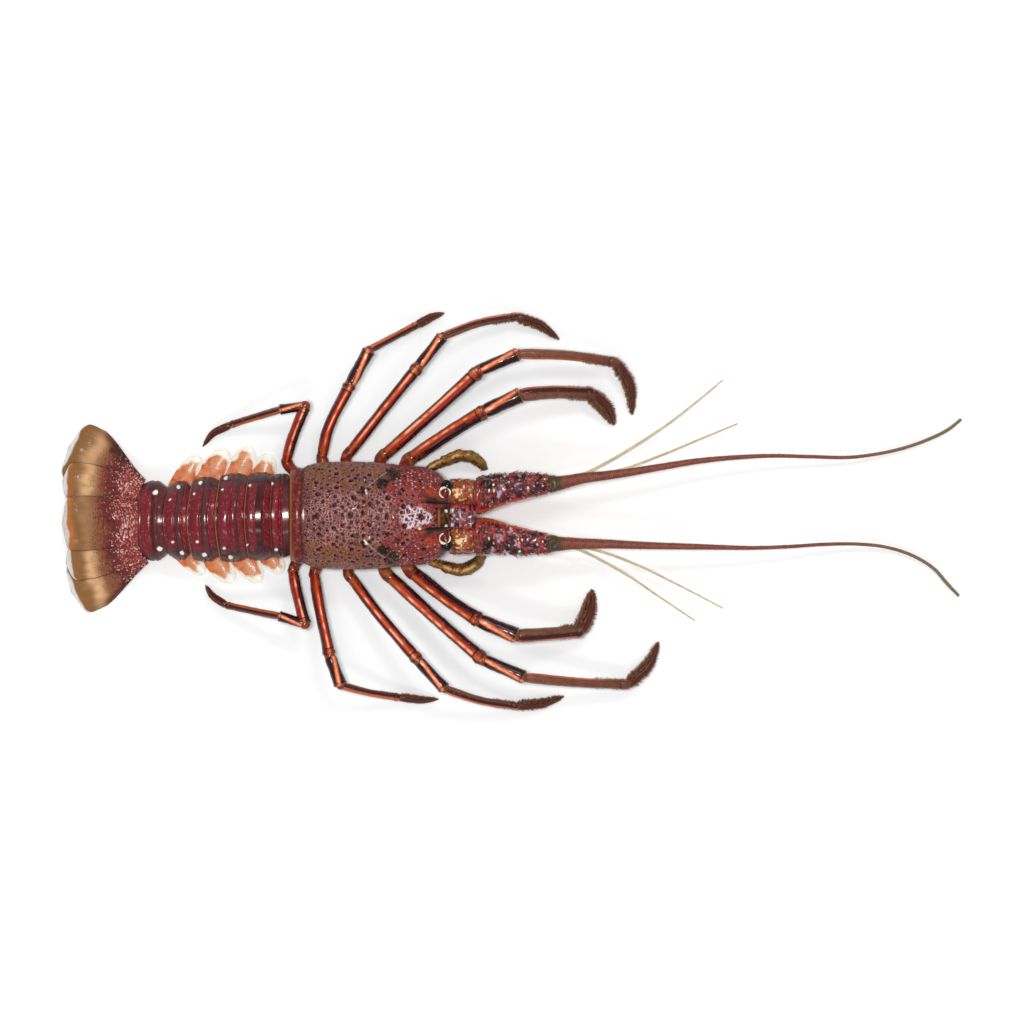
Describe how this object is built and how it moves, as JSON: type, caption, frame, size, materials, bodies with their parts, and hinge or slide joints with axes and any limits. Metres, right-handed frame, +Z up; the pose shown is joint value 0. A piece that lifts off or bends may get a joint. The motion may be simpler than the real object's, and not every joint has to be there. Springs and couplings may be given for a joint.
{
  "type": "raw whole spiny lobster",
  "caption": "Raw whole spiny lobster lying belly down: spined carapace, segmented tail with its fan spread, legs spread, long antennae laid forward.",
  "frame": {"origin": "middle of the box around the whole lobster, on the surface that it lies on", "axes": "+X from the tail fan to the head and antennae, +Y to the animal's left, +Z up"},
  "size_m": [0.5886, 0.2604, 0.0565],
  "materials": {
    "carapace": "raw shell, purple-brown with pale granules, damp satin",
    "abdomen": "raw tail shell, wine red, wet gloss",
    "fan": "tail fan, tan with a speckled dark red root and a pale rim, satin",
    "pleopod": "thin flap, orange with a pale edge, slightly see-through",
    "leg": "leg shell, dark plum with orange-red stripes, gloss",
    "antenna": "antenna shell, brick red with pale spines, satin",
    "antennule": "fine whips, pale straw, matte",
    "maxilliped": "bristly feelers, golden brown, matte",
    "belly": "pale breast plate, satin",
    "eye": "black eye, wet gloss"
  },
  "bodies": {
    "root": {"carapace": "carapace", "sternum": "belly", "antennular_plate": "carapace", "telson": "fan", "abdomen_1": "abdomen", "abdomen_2": "abdomen", "abdomen_3": "abdomen", "abdomen_4": "abdomen", "abdomen_5": "abdomen", "abdomen_6": "abdomen", "uropod_left_inner": "fan", "uropod_left_outer": "fan", "pleopod_left_1": "pleopod", "pleopod_left_2": "pleopod", "pleopod_left_3": "pleopod", "pleopod_left_4": "pleopod", "leg_left_1": "leg", "leg_left_2": "leg", "leg_left_3": "leg", "leg_left_4": "leg", "leg_left_5": "leg", "eye_left": "eye", "antenna_base_left": "antenna", "antenna_whip_left": "antenna", "antennule_left": "antennule", "maxilliped_left": "maxilliped", "uropod_right_inner": "fan", "uropod_right_outer": "fan", "pleopod_right_1": "pleopod", "pleopod_right_2": "pleopod", "pleopod_right_3": "pleopod", "pleopod_right_4": "pleopod", "leg_right_1": "leg", "leg_right_2": "leg", "leg_right_3": "leg", "leg_right_4": "leg", "leg_right_5": "leg", "eye_right": "eye", "antenna_base_right": "antenna", "antenna_whip_right": "antenna", "antennule_right": "antennule", "maxilliped_right": "maxilliped"}
  },
  "joints": []
}
